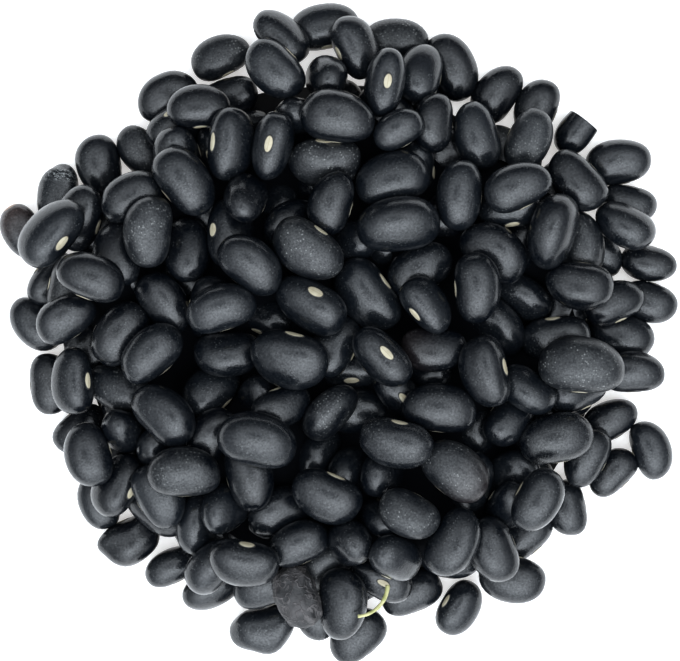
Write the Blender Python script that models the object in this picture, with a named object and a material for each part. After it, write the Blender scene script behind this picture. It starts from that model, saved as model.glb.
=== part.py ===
"""A heap of dried black beans, as poured on a table, with one dry stalk lying in it.

The beans are laid one after another on a height map of the heap. Each one comes to rest on what
lies below it and rocks to the lowest pose that it can reach. The beans are fused with a low core
into one closed solid. Lengths are in millimetres here and in metres in the objects.
"""

import math
from collections import namedtuple

import bmesh
import bpy
import numpy as np
from mathutils import Vector

MM = 0.001

# One bean
BEAN_LENGTH = 9.8
BEAN_WIDTH = 6.7
BEAN_THICKNESS = 5.6
SIZE_SPREAD = 0.055
BOXINESS = 2.25
KIDNEY_BEND = 0.12
END_TAPER = 0.07
EYE_DIP = 0.035

# The heap
HEAP_RADIUS = 45.8
HEAP_DEPTH_SHARE = 0.975
HEAP_HEIGHT = 22.0
SLOPE_POWER = 0.8
TOP_BEANS_ROOM = 15.5
SEED = 10
HEAP_PLACE = (0.15, 0.42)
OUTLINE_BULGES = (
    # share of the radius, bulges round the heap, heading of one bulge in degrees
    (0.020, 2, 165.0),
    (0.016, 3, 30.0),
    (0.016, 5, 25.0),
    (0.014, 8, 165.0),
)

# The height map that the beans are laid on
CELL = 0.3
MAP_HALF = 54.0
CONTACT_POINTS = 240
STAMP_POINTS = 5200

# How a bean comes to rest: its room to move in x, y, heading, pitch and roll (mm and radians), the mm
# that it must come down for each one that it slides and for each radian that it tips, and how far
# out it may reach, as a share of the outline
Settling = namedtuple("Settling", "room grip level reach")
POURED = Settling(np.array([1.6, 1.6, 0.5, 0.35, 0.4]), 0.7, 2.5, 0.87)
LOOSE = Settling(np.array([0.5, 0.5, 0.2, 0.5, 0.4]), 0.3, 0.0, 1.08)
PLACED = Settling(np.array([0.35, 0.35, 0.1, 0.5, 0.25]), 0.7, 2.5, 1.08)
FLOOR_REACH = 0.92
# Share of its size at which a bean touches those below, so that neighbours press together
TOUCH_SHARE = 0.88
SETTLE_ROUNDS = 26
SETTLE_TRIALS = 12
FLOOR_TRIALS = 320
POUR_TRIALS = 150
MOST_MISSES = 60
LEANING_SHARE = 0.35
LEVEL_WITHIN = 1.16
OUTSIDE_PENALTY = 50.0
# Bare table inside this share of the outline draws beans: mm of height that covering it is worth
BARE_WITHIN = 0.88
BARE_BELOW = 1.0
BARE_PULL = 9.0

# The beans that give this heap its look: place of the middle from the heap's centre in x and y (mm),
# heading of the eye's side and its lift above level (degrees), length (mm)
LOW_BEANS = (
    (-2.1, 42.2, -80, 24, 9.8),
    (7.8, 40.4, -90, 20, 9.0),
    (-7.8, 40.7, 232, 65, 9.0),
    (2.1, 39.0, 202, 30, 9.0),
    (15.3, 36.9, 208, 30, 9.8),
    (21.4, 33.2, -40, -5, 8.6),
    (27.1, 31.0, -20, -5, 8.6),
    (38.7, 23.4, -80, -5, 9.4),
    (40.1, 17.6, 70, -5, 8.2),
    (43.0, 9.4, 80, -10, 7.9),
    (43.0, 4.0, 72, -5, 8.1),
    (39.2, -0.1, 70, -5, 9.4),
    (40.5, -5.8, -90, -5, 8.8),
    (37.6, -12.5, -62, -5, 8.2),
    (43.3, -16.6, 200, 5, 8.4),
    (38.1, -19.7, -45, -5, 7.8),
    (31.6, -24.7, 10, -5, 8.0),
    (26.6, -27.6, -35, -5, 8.8),
    (23.8, -34.2, 78, 0, 9.4),
    (16.6, -38.6, 150, 35, 8.2),
    (9.9, -36.4, -65, -5, 8.8),
    (2.4, -42.4, -48, -5, 8.8),
    (-10.7, -41.5, 105, 5, 9.2),
    (-17.7, -35.8, 118, 60, 8.8),
    (-23.5, -32.9, -62, -5, 7.8),
    (-29.1, -29.1, 118, -5, 8.8),
    (-33.7, -23.9, 20, -5, 8.0),
    (-36.2, -13.8, 130, -5, 8.2),
    (-40.3, -7.4, 185, -5, 8.6),
    (-42.3, 0.9, 50, -5, 8.6),
    (-40.2, 6.1, 140, -5, 8.4),
    (-44.0, 13.6, 32, -10, 8.4),
    (-39.2, 18.9, -5, 10, 8.6),
    (-33.5, 22.9, 12, -10, 8.9),
    (-27.5, 24.8, 45, -5, 8.4),
    (-23.9, 32.5, -68, -5, 9.0),
    (-16.6, 38.1, -72, 30, 8.6),
    (-8.8, 35.8, 45, -5, 9.4),
    (-14.6, 32.6, 100, -5, 8.8),
    (36.2, 10.9, -110, 12, 8.0),
    (34.1, -17.5, -25, -5, 8.6),
    (-2.5, -39.2, -20, -5, 8.8),
)
MIDDLE_BEANS = (
    (-7.0, 31.7, 150, 4, 9.0),
    (-21.0, 24.7, 50, 4, 9.4),
    (-28.4, 18.3, -60, -10, 9.0),
    (-30.3, 11.0, 10, -10, 9.2),
    (-33.2, 14.9, -10, -10, 9.4),
    (-20.8, 11.0, 175, 4, 9.4),
    (-17.2, 12.4, 172, 6, 9.8),
    (-13.7, 16.9, -30, -10, 8.8),
    (-8.3, 16.4, -60, -10, 9.0),
    (-2.9, 35.1, -120, 2, 9.2),
    (-8.6, 0.7, -90, -10, 9.0),
    (-18.1, 4.6, 170, 4, 9.6),
    (10.0, 34.5, -30, -10, 9.0),
    (23.7, 15.7, -90, -10, 9.0),
    (25.0, 5.8, -130, -10, 9.0),
    (22.0, 1.2, -160, -10, 9.8),
    (29.1, 0.1, 95, 4, 9.6),
    (37.0, 3.1, -60, -10, 8.8),
    (3.1, 11.1, -60, -10, 8.8),
    (12.0, 22.2, 20, -10, 8.8),
    (-30.4, -7.9, 90, -10, 9.0),
    (-29.5, -12.3, -160, -10, 9.2),
    (-26.3, -14.4, 50, 4, 9.4),
    (-17.6, -9.5, -30, -10, 9.2),
    (-17.5, -13.9, -20, -10, 9.0),
    (-12.8, -8.9, 150, 4, 9.4),
    (-9.1, -9.6, 100, 8, 8.6),
    (-0.4, -2.9, -15, -10, 9.2),
    (-5.0, -17.0, -60, -10, 9.2),
    (-1.2, -17.9, -40, -10, 9.0),
    (-28.8, -20.8, -10, -10, 9.4),
    (-21.7, -25.7, -10, -10, 9.2),
    (-17.0, -24.3, -60, -10, 9.4),
    (-9.3, -24.8, -75, -10, 9.8),
    (-18.3, -29.6, -60, -10, 9.0),
    (-10.3, -35.0, -60, -10, 9.0),
    (12.7, -5.7, -90, -10, 9.0),
    (3.1, -10.1, -110, 4, 9.4),
    (7.1, -10.0, 60, 80, 8.8),
    (19.3, -12.8, -20, -10, 9.4),
    (22.6, -12.2, 130, -10, 9.0),
    (24.2, -17.5, -60, -10, 8.8),
    (23.6, -21.6, 140, 50, 8.8),
    (19.8, -20.5, -10, -10, 9.6),
    (3.4, -19.3, -60, -10, 9.6),
    (5.2, -25.1, 20, -10, 9.0),
    (30.8, -9.2, -70, -10, 9.6),
    (1.6, -28.7, -60, -10, 9.6),
)
TOP_BEANS = (
    (4.8, -33.0, 62, 80, 8.6),
    (-19.8, 29.6, -82, -4, 8.8),
    (-39.2, 13.3, -42, 50, 10.6),
    (-33.4, -16.6, 10, -10, 8.8),
    (-36.0, -6.8, 12, -5, 9.2),
    (-37.5, 1.8, -65, -5, 8.8),
    (-33.5, 7.2, -110, 8, 9.4),
    (38.5, 14.4, 75, -5, 8.8),
    (12.3, 28.0, -15, -10, 8.2),
    (7.9, 27.3, -60, -20, 7.2),
    (26.6, -22.7, 150, -5, 9.0),
    (25.4, -8.4, 52, -8, 8.4),
    (21.7, 11.6, -120, -5, 10.0),
    (7.1, -29.9, -115, -5, 9.0),
    (-5.4, -28.2, -68, 8, 8.6),
    (-24.8, -21.8, 200, -3, 9.2),
    (-12.5, -20.0, 185, -2, 9.4),
    (-30.0, -0.3, -35, -10, 9.6),
    (12.6, -2.6, 90, -12, 9.0),
    (-23.8, 3.7, -138, -12, 9.4),
    (7.1, 20.7, -70, -10, 10.2),
    (-2.0, 22.9, 90, 35, 10.0),
    (20.9, -29.1, 15, 2, 9.2),
    (9.2, -24.7, 65, -8, 8.6),
    (15.6, -18.9, -130, -10, 10.0),
    (-15.4, -3.3, 98, -12, 9.4),
    (-16.0, 3.0, -72, -10, 9.6),
    (18.7, 26.7, 15, -10, 9.4),
    (26.0, 26.3, 155, -6, 8.8),
    (24.1, 19.4, -68, -10, 9.4),
    (16.2, 18.4, -5, -10, 9.6),
    (10.8, 8.2, -52, -12, 9.8),
    (32.7, 6.2, 80, -10, 9.4),
    (-12.4, -30.9, 78, 12, 9.6),
    (0.3, -37.2, 175, 5, 9.9),
    (32.7, -4.8, -94, -10, 11.8),
    (32.5, 20.6, 40, -10, 9.6),
    (28.9, 13.8, -12, -10, 10.6),
    (28.4, -14.5, -80, -10, 10.2),
    (-21.5, 20.1, -125, -10, 10.4),
    (-14.7, 25.0, 175, 18, 10.0),
    (-8.8, 24.9, 165, 75, 9.4),
    (6.1, 33.4, -10, 75, 9.5),
    (-0.3, 28.9, -100, -5, 10.2),
    (-1.2, 17.4, -20, 10, 8.8),
    (-25.9, 13.5, -3, -10, 9.8),
    (-12.7, 8.2, 218, -10, 9.8),
    (-3.8, 11.6, 45, -5, 10.4),
    (-21.1, -19.1, -90, -10, 10.0),
    (-23.4, -12.2, -118, -12, 10.0),
    (-11.1, -15.0, -106, -10, 10.8),
    (-25.8, -2.9, -45, -10, 9.6),
    (-2.0, -11.0, -45, -10, 9.0),
    (-1.4, -23.0, 55, 12, 9.9),
    (15.3, -28.6, 152, -6, 9.8),
    (13.3, -10.5, -95, -10, 10.0),
    (8.1, -15.8, 82, 34, 10.0),
    (19.5, -5.4, 15, 28, 9.9),
    (11.5, 3.0, 215, 25, 8.6),
    (3.4, 4.3, 52, 26, 11.0),
    (-4.1, 4.3, 52, 72, 10.6),
    (5.7, -3.9, 45, 68, 9.6),
    (-6.4, -4.0, 88, 6, 10.8),
    (18.6, 5.9, 172, 2, 9.6),
    (7.9, 15.1, -87, -12, 11.4),
)
BROKEN_BEAN = (33.3, 28.3, -38, 80, 8.8)
BROKEN_SHARE = 0.62
WRINKLED_BEAN = (-5.8, -35.6, 25, 20, 8.8)
WRINKLE_DEPTH = 0.09

# The solid: each bean has few sides, so it is a little larger to hold the same volume
BEAN_SIDES = 6
BEAN_RINGS = 4
BEAN_SWELL = 1.12
CORE_SIDES = 44
CORE_RINGS = 9
CORE_SHARE = 0.95
CORE_DEPTH = 2.6
CORE_RIM_HEIGHT = 1.2
SMOOTHING_REACH = 3.5

# The dry stalk: an arc of a thin round stem that leans down the side of the heap
STALK_THICKNESS = 0.6
STALK_MIDDLE = (2.3, -34.5)
STALK_BEND = 4.2
STALK_HEADINGS = (-2.0, -88.0)
STALK_STEPS = 14
STALK_GAP = 0.6

# Colours (linear)
BEAN_COLOUR = (0.012, 0.013, 0.016)
BEAN_ROUGHNESS = 0.45
STALK_COLOUR = (0.55, 0.53, 0.25)
STALK_ROUGHNESS = 0.6


class Bean:
    """One bean: its sizes and, once it is laid, its middle and the way it is turned."""

    def __init__(self, rng, length=None):
        spread = rng.normal(0.0, SIZE_SPREAD, 3)
        share = length / BEAN_LENGTH if length else 1.0 + spread[0]
        widths = share * (1.0 + 0.6 * spread[1:])
        sizes = (BEAN_LENGTH * share, BEAN_WIDTH * widths[0], BEAN_THICKNESS * widths[1])
        self.half = 0.5 * np.array(sizes)
        self.bend = KIDNEY_BEND * rng.uniform(0.6, 1.4)
        self.taper = END_TAPER * rng.uniform(-1.0, 1.6)
        self.cut = 1.0
        self.wrinkles = 0.0
        self.middle = np.zeros(3)
        self.turn = np.eye(3)

    def surface(self, directions):
        """Points for unit directions: x runs along the bean, the eye is at -y, z is its thickness."""
        powers = np.abs(directions) ** BOXINESS
        points = directions / powers.sum(axis=1, keepdims=True) ** (1.0 / BOXINESS)
        along = points[:, 0].copy()
        points[:, 1:] *= (1.0 - self.taper * along)[:, None]
        dip = EYE_DIP * np.exp(-((along / 0.3) ** 2)) * (points[:, 1] < 0.0)
        points[:, 1] += self.bend * (0.25 - along**2) + dip
        if self.wrinkles:
            ripple = np.sin(7.0 * directions).prod(axis=1)
            points *= (1.0 + self.wrinkles * ripple)[:, None]
        points[:, 0] = np.minimum(points[:, 0], 2.0 * self.cut - 1.0)
        return points * self.half

    def placed_surface(self, directions):
        """The same points where the bean lies in the heap."""
        return self.surface(directions) @ self.turn.T + self.middle


def sphere_directions(count):
    """Unit directions spread evenly over a sphere, along a spiral."""
    steps = np.arange(count) + 0.5
    tilt = np.arccos(1.0 - 2.0 * steps / count)
    round_ = math.pi * (1.0 + math.sqrt(5.0)) * steps
    return np.stack(
        [np.sin(tilt) * np.cos(round_), np.sin(tilt) * np.sin(round_), np.cos(tilt)], axis=1
    )


def turns(headings, pitches, rolls):
    """Rotation matrices: a roll about the length, then a pitch, then the heading."""
    ch, sh = np.cos(headings), np.sin(headings)
    cp, sp = np.cos(pitches), np.sin(pitches)
    cr, sr = np.cos(rolls), np.sin(rolls)
    rows = [
        [ch * cp, ch * sp * sr - sh * cr, ch * sp * cr + sh * sr],
        [sh * cp, sh * sp * sr + ch * cr, sh * sp * cr - ch * sr],
        [-sp, cp * sr, cp * cr],
    ]
    return np.array(rows).transpose(2, 0, 1)


def outline_share(x, y):
    """How far a point is out from the heap's centre, as a share of the outline's radius there."""
    heading = np.arctan2(y, x)
    radius = 1.0
    for share, count, first in OUTLINE_BULGES:
        radius = radius + share * np.cos(count * (heading - math.radians(first)))
    return np.hypot(x, y / HEAP_DEPTH_SHARE) / (HEAP_RADIUS * radius)


def slope_height(x, y):
    """Height of the poured heap's smooth outer form, from one bean at the rim up to its middle."""
    inner = np.clip(1.0 - outline_share(x, y) ** 2, 0.0, 1.0)
    rise = HEAP_HEIGHT - TOP_BEANS_ROOM - BEAN_THICKNESS
    return BEAN_THICKNESS + rise * inner**SLOPE_POWER


class Heap:
    """The beans laid so far, and a map of the height of their upper side."""

    def __init__(self):
        self.rng = np.random.default_rng(SEED)
        self.side = int(2 * MAP_HALF / CELL)
        self.height = np.zeros((self.side, self.side))
        self.beans = []
        self.contact = sphere_directions(CONTACT_POINTS)
        self.stamp = sphere_directions(STAMP_POINTS)

    def cells(self, x, y):
        """Map cells of points given in x and y."""
        return (
            ((x + MAP_HALF) / CELL).astype(int),
            ((y + MAP_HALF) / CELL).astype(int),
        )

    def rest(self, bean, poses):
        """For each pose, the middle's height at first touch, its reach and the bare table it covers."""
        touching = TOUCH_SHARE * bean.surface(self.contact)
        turned = touching @ turns(*poses[:, 2:].T).transpose(0, 2, 1)
        x = turned[:, :, 0] + poses[:, :1]
        y = turned[:, :, 1] + poses[:, 1:2]
        below = self.height[self.cells(x, y)]
        touch = (below - turned[:, :, 2]).max(axis=1)
        out = outline_share(x, y)
        bare = ((below < BARE_BELOW) & (out < BARE_WITHIN)).mean(axis=1)
        return np.round(touch, 4), out.max(axis=1), bare

    def settle(self, bean, pose, settling):
        """The pose after the bean has rocked and slid down, within the room it is given."""
        x, y = pose[:2]
        height = self.rest(bean, pose[None])[0][0]
        best = height + settling.level * abs(pose[3])
        for step in range(SETTLE_ROUNDS):
            room = settling.room * 0.9**step
            trials = pose + room * self.rng.uniform(-1.0, 1.0, (SETTLE_TRIALS, 5))
            heights, reach, _ = self.rest(bean, trials)
            slid = np.hypot(trials[:, 0] - x, trials[:, 1] - y)
            effort = heights + settling.grip * slid + settling.level * np.abs(trials[:, 3])
            effort = np.round(effort + OUTSIDE_PENALTY * (reach > settling.reach), 4)
            easiest = int(np.argmin(effort))
            if effort[easiest] < best:
                best, pose, height = effort[easiest], trials[easiest], heights[easiest]
        return pose, height

    def lay(self, bean, pose, height):
        """Adds the bean to the heap at that pose."""
        bean.turn = turns(*pose[None, 2:].T)[0]
        bean.middle = np.array([pose[0], pose[1], height])
        points = bean.placed_surface(self.stamp)
        np.maximum.at(self.height, self.cells(points[:, 0], points[:, 1]), points[:, 2])
        self.beans.append(bean)

    def place(self, row, settling=PLACED, cut=1.0, wrinkles=0.0):
        """Lays a bean at a chosen place, with its eye's side turned the way that is asked."""
        x, y, eye_heading, eye_lift, length = row
        bean = Bean(self.rng, length)
        bean.cut = cut
        bean.wrinkles = wrinkles
        heading = math.radians(eye_heading + 90.0)
        pose = np.array([x, y, heading, 0.0, -math.radians(eye_lift)])
        self.lay(bean, *self.settle(bean, pose, settling))

    def random_poses(self, count, nearest):
        """Poses spread over the heap's plan, from a share of its radius outwards, and at any heading."""
        poses = np.zeros((count, 5))
        out = np.sqrt(self.rng.uniform(nearest**2, 1.0, count)) * HEAP_RADIUS
        bearing = self.rng.uniform(0.0, 2.0 * math.pi, count)
        poses[:, 0] = out * np.cos(bearing)
        poses[:, 1] = out * np.sin(bearing) * HEAP_DEPTH_SHARE
        poses[:, 2] = self.rng.uniform(0.0, 2.0 * math.pi, count)
        return poses

    def lay_floor(self):
        """Lays beans on the table from the rim inwards, until there is no room for another."""
        missed = 0
        nearest = 0.75
        while missed < MOST_MISSES or nearest > 0.0:
            if missed >= MOST_MISSES:
                missed, nearest = 0, nearest - 0.25
            bean = Bean(self.rng)
            poses = self.random_poses(FLOOR_TRIALS, nearest)
            poses[:, 4] = self.rng.normal(0.0, 0.1, FLOOR_TRIALS)
            heights, reach, _ = self.rest(bean, poses)
            clear = (heights < LEVEL_WITHIN * bean.half[2]) & (reach < FLOOR_REACH)
            missed += 1
            if clear.any():
                missed = 0
                chosen = int(np.argmax(np.where(clear, np.round(reach, 6), 0.0)))
                self.lay(bean, poses[chosen], heights[chosen])

    def pour(self):
        """Drops beans where the heap is furthest below its slope, until none fits under it."""
        missed = 0
        while missed < MOST_MISSES:
            bean = Bean(self.rng)
            poses = self.random_poses(POUR_TRIALS, 0.0)
            poses[:, 3] = self.rng.normal(0.0, 0.15, POUR_TRIALS)
            leaning = self.rng.uniform(-math.pi, math.pi, POUR_TRIALS)
            lying = self.rng.normal(0.0, 0.2, POUR_TRIALS)
            leans = self.rng.uniform(size=POUR_TRIALS) < LEANING_SHARE
            poses[:, 4] = np.where(leans, leaning, lying)
            heights, reach, bare = self.rest(bean, poses)
            limit = slope_height(poses[:, 0], poses[:, 1]) - bean.half[2]
            over = heights - limit - BARE_PULL * bare + OUTSIDE_PENALTY * (reach > POURED.reach)
            over = np.round(over, 4)
            chosen = int(np.argmin(over))
            missed += 1
            if over[chosen] < 0.0:
                missed = 0
                self.lay(bean, *self.settle(bean, poses[chosen], POURED))


def laid_heap():
    """The whole heap: named low beans, the rim, poured beans, then the named middle and top ones."""
    heap = Heap()
    for row in LOW_BEANS:
        heap.place(row)
    heap.place(BROKEN_BEAN, cut=BROKEN_SHARE)
    heap.lay_floor()
    heap.pour()
    for row in MIDDLE_BEANS:
        heap.place(row, LOOSE)
    for row in TOP_BEANS:
        heap.place(row)
    heap.place(WRINKLED_BEAN, wrinkles=WRINKLE_DEPTH)
    return heap


def material(name, colour, roughness):
    """A plain Principled material."""
    made = bpy.data.materials.new(name)
    made.use_nodes = True
    surface = made.node_tree.nodes["Principled BSDF"]
    surface.inputs["Base Color"].default_value = (*colour, 1.0)
    surface.inputs["Roughness"].default_value = roughness
    return made


def new_object(name, shape, collection):
    """An object that holds the shape, linked in the collection."""
    mesh = bpy.data.meshes.new(name)
    shape.to_mesh(mesh)
    shape.free()
    made = bpy.data.objects.new(name, mesh)
    collection.objects.link(made)
    return made


def new_collection(name, in_render=True):
    """A collection in the scene. Helpers stay out of the render."""
    made = bpy.data.collections.new(name)
    made.hide_render = not in_render
    bpy.context.scene.collection.children.link(made)
    return made


def bean_solid(bean, number, collection):
    """The bean with few sides: a ball whose poles are its ends, pressed to the bean's form."""
    shape = bmesh.new()
    bmesh.ops.create_uvsphere(shape, u_segments=BEAN_SIDES, v_segments=BEAN_RINGS, radius=1.0)
    ball = np.array([vert.co[:] for vert in shape.verts])
    points = bean.surface(ball[:, [2, 0, 1]]) * BEAN_SWELL
    for vert, point in zip(shape.verts, points @ bean.turn.T + bean.middle):
        vert.co = Vector(point) * MM
    made = new_object(f"bean_{number:03d}", shape, collection)
    made.hide_render = True
    made.display_type = "WIRE"
    return made


def smoothed_height(heap, x, y):
    """Mean height of the heap's upper side around a point."""
    reach = int(SMOOTHING_REACH / CELL)
    column, row = heap.cells(np.array(x), np.array(y))
    near = heap.height[column - reach : column + reach + 1, row - reach : row + reach + 1]
    return float(near.mean())


def core_solid(heap, collection):
    """A low mound inside the heap, made from a ball pressed flat below."""
    shape = bmesh.new()
    bmesh.ops.create_uvsphere(shape, u_segments=CORE_SIDES, v_segments=2 * CORE_RINGS, radius=1.0)
    for vert in shape.verts:
        latitude = math.asin(max(-1.0, min(1.0, vert.co.z)))
        out = CORE_SHARE * (1.0 - abs(latitude) * 2.0 / math.pi)
        heading = math.atan2(vert.co.y, vert.co.x)
        direction = np.array([math.cos(heading), math.sin(heading)])
        x, y = direction * out / outline_share(*direction)
        height = max(CORE_RIM_HEIGHT, smoothed_height(heap, x, y) - CORE_DEPTH)
        if vert.co.z < -1e-3:
            height = -1.0
        elif out >= 0.999 * CORE_SHARE:
            height = 0.5 * CORE_RIM_HEIGHT
        vert.co = Vector((x, y, height)) * MM
    return new_object("beans", shape, collection)


def ground_solid(collection):
    """All that lies below the table's surface."""
    shape = bmesh.new()
    bmesh.ops.create_cube(shape, size=4.0 * MAP_HALF * MM)
    bmesh.ops.translate(shape, verts=shape.verts, vec=(0.0, 0.0, -2.0 * MAP_HALF * MM))
    made = new_object("ground", shape, collection)
    made.hide_render = True
    made.display_type = "WIRE"
    return made


def apply_modifiers(made):
    """Replaces the object's mesh by the mesh that its modifiers make."""
    graph = bpy.context.evaluated_depsgraph_get()
    mesh = bpy.data.meshes.new_from_object(made.evaluated_get(graph))
    made.modifiers.clear()
    old = made.data
    made.data = mesh
    bpy.data.meshes.remove(old)


def islands(shape):
    """The separate closed surfaces of a shape, each as a list of faces."""
    left = set(shape.faces)
    found = []
    while left:
        waiting = [left.pop()]
        island = []
        while waiting:
            face = waiting.pop()
            island.append(face)
            for edge in face.edges:
                for other in edge.link_faces:
                    if other in left:
                        left.remove(other)
                        waiting.append(other)
        found.append(island)
    return found


def keep_outer_surface(made):
    """Drops loose scraps and the walls of sealed hollows, which fills the hollows."""
    shape = bmesh.new()
    shape.from_mesh(made.data)
    found = sorted(islands(shape), key=len)
    for island in found[:-1]:
        bmesh.ops.delete(shape, geom=island, context="FACES")
    loose = [vert for vert in shape.verts if not vert.link_faces]
    bmesh.ops.delete(shape, geom=loose, context="VERTS")
    shape.to_mesh(made.data)
    shape.free()


def boolean(made, name, operation, collection):
    """Joins all that the collection holds to the object, or cuts it away, then empties the collection."""
    change = made.modifiers.new(name, "BOOLEAN")
    change.operation = operation
    change.operand_type = "COLLECTION"
    change.collection = collection
    change.solver = "MANIFOLD"
    apply_modifiers(made)
    for helper in list(collection.objects):
        bpy.data.objects.remove(helper)


def build_beans(heap, collection):
    """One closed solid: the beans, fused with the core and flat where they rest."""
    helpers = new_collection("helpers", in_render=False)
    made = core_solid(heap, collection)
    for number, bean in enumerate(heap.beans):
        bean_solid(bean, number, helpers)
    boolean(made, "join", "UNION", helpers)
    ground_solid(helpers)
    boolean(made, "level", "DIFFERENCE", helpers)
    keep_outer_surface(made)
    made.data.materials.clear()
    made.data.materials.append(material("black bean", BEAN_COLOUR, BEAN_ROUGHNESS))
    return made


def height_needed(heap, heading):
    """Height of the stalk's middle at a heading of its arc that clears the beans below it."""
    reach = int(math.ceil(0.8 * STALK_THICKNESS / CELL))
    x = STALK_MIDDLE[0] + STALK_BEND * math.cos(heading)
    y = STALK_MIDDLE[1] + STALK_BEND * math.sin(heading)
    column, row = heap.cells(np.array(x), np.array(y))
    near = heap.height[column - reach : column + reach + 1, row - reach : row + reach + 1]
    return float(near.max()) + STALK_GAP + 0.5 * STALK_THICKNESS


def stalk_heights(heap, headings):
    """Heights of the stalk's middle: a straight slope that clears every bean under the arc."""
    needed = np.array([height_needed(heap, heading) for heading in headings])
    slope, level = np.polyfit(headings, needed, 1)
    line = slope * headings + level
    return line + (needed - line).max()


def build_stalk(heap, collection):
    """The stalk: a thin round curve along its arc, sloped to lie over the beans."""
    first, last = (math.radians(heading) for heading in STALK_HEADINGS)
    headings = np.linspace(first, last, STALK_STEPS + 1)
    path = bpy.data.curves.new("stalk", "CURVE")
    path.dimensions = "3D"
    path.bevel_depth = 0.5 * STALK_THICKNESS * MM
    path.bevel_resolution = 2
    path.use_fill_caps = True
    line = path.splines.new("POLY")
    line.points.add(STALK_STEPS)
    for point, heading, height in zip(line.points, headings, stalk_heights(heap, headings)):
        x = STALK_MIDDLE[0] + STALK_BEND * math.cos(heading)
        y = STALK_MIDDLE[1] + STALK_BEND * math.sin(heading)
        point.co = (x * MM, y * MM, height * MM, 1.0)
    made = bpy.data.objects.new("stalk", path)
    collection.objects.link(made)
    path.materials.append(material("dry stalk", STALK_COLOUR, STALK_ROUGHNESS))
    return made


def clear_scene():
    """Removes what the scene starts with."""
    for existing in list(bpy.data.objects):
        bpy.data.objects.remove(existing)


def main():
    """Builds the heap and the stalk."""
    clear_scene()
    heap = laid_heap()
    collection = new_collection("heap_of_dried_beans")
    for made in (build_beans(heap, collection), build_stalk(heap, collection)):
        made.location = (HEAP_PLACE[0] * MM, HEAP_PLACE[1] * MM, 0.0)


if __name__ == "__main__":
    main()
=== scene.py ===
"""Dresses a heap of dried black beans that lies on a white table, seen from straight above.

The heap is laid by the same rules and the same draws as its solid, so each bean here is the real form
of a bean there. Lengths are in millimetres in the laying and in metres in the meshes.
"""

import logging
import math
from dataclasses import dataclass, field, replace
from enum import Enum

import bmesh
import bpy
import numpy as np
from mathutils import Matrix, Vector


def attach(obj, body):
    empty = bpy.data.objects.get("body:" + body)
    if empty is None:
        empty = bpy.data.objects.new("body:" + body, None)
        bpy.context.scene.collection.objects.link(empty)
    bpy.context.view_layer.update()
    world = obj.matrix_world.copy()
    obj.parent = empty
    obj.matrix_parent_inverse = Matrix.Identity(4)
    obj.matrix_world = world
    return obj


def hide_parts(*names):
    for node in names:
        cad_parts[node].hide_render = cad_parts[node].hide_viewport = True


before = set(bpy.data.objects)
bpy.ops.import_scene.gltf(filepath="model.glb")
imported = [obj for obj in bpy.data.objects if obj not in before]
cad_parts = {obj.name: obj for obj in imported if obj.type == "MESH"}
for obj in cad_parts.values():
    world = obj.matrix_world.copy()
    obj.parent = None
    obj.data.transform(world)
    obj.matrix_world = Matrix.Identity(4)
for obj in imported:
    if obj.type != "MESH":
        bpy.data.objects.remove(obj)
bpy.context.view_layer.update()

LOG = logging.getLogger("bean_heap")
MM = 0.001
Array = np.ndarray

# The beans that give this heap its look: place of the middle from the heap's centre in x and y (mm),
# heading of the eye's side and its lift above level (degrees), length (mm)
LOW_BEANS = (
    (-2.1, 42.2, -80, 24, 9.8),
    (7.8, 40.4, -90, 20, 9.0),
    (-7.8, 40.7, 232, 65, 9.0),
    (2.1, 39.0, 202, 30, 9.0),
    (15.3, 36.9, 208, 30, 9.8),
    (21.4, 33.2, -40, -5, 8.6),
    (27.1, 31.0, -20, -5, 8.6),
    (38.7, 23.4, -80, -5, 9.4),
    (40.1, 17.6, 70, -5, 8.2),
    (43.0, 9.4, 80, -10, 7.9),
    (43.0, 4.0, 72, -5, 8.1),
    (39.2, -0.1, 70, -5, 9.4),
    (40.5, -5.8, -90, -5, 8.8),
    (37.6, -12.5, -62, -5, 8.2),
    (43.3, -16.6, 200, 5, 8.4),
    (38.1, -19.7, -45, -5, 7.8),
    (31.6, -24.7, 10, -5, 8.0),
    (26.6, -27.6, -35, -5, 8.8),
    (23.8, -34.2, 78, 0, 9.4),
    (16.6, -38.6, 150, 35, 8.2),
    (9.9, -36.4, -65, -5, 8.8),
    (2.4, -42.4, -48, -5, 8.8),
    (-10.7, -41.5, 105, 5, 9.2),
    (-17.7, -35.8, 118, 60, 8.8),
    (-23.5, -32.9, -62, -5, 7.8),
    (-29.1, -29.1, 118, -5, 8.8),
    (-33.7, -23.9, 20, -5, 8.0),
    (-36.2, -13.8, 130, -5, 8.2),
    (-40.3, -7.4, 185, -5, 8.6),
    (-42.3, 0.9, 50, -5, 8.6),
    (-40.2, 6.1, 140, -5, 8.4),
    (-44.0, 13.6, 32, -10, 8.4),
    (-39.2, 18.9, -5, 10, 8.6),
    (-33.5, 22.9, 12, -10, 8.9),
    (-27.5, 24.8, 45, -5, 8.4),
    (-23.9, 32.5, -68, -5, 9.0),
    (-16.6, 38.1, -72, 30, 8.6),
    (-8.8, 35.8, 45, -5, 9.4),
    (-14.6, 32.6, 100, -5, 8.8),
    (36.2, 10.9, -110, 12, 8.0),
    (34.1, -17.5, -25, -5, 8.6),
    (-2.5, -39.2, -20, -5, 8.8),
)
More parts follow.
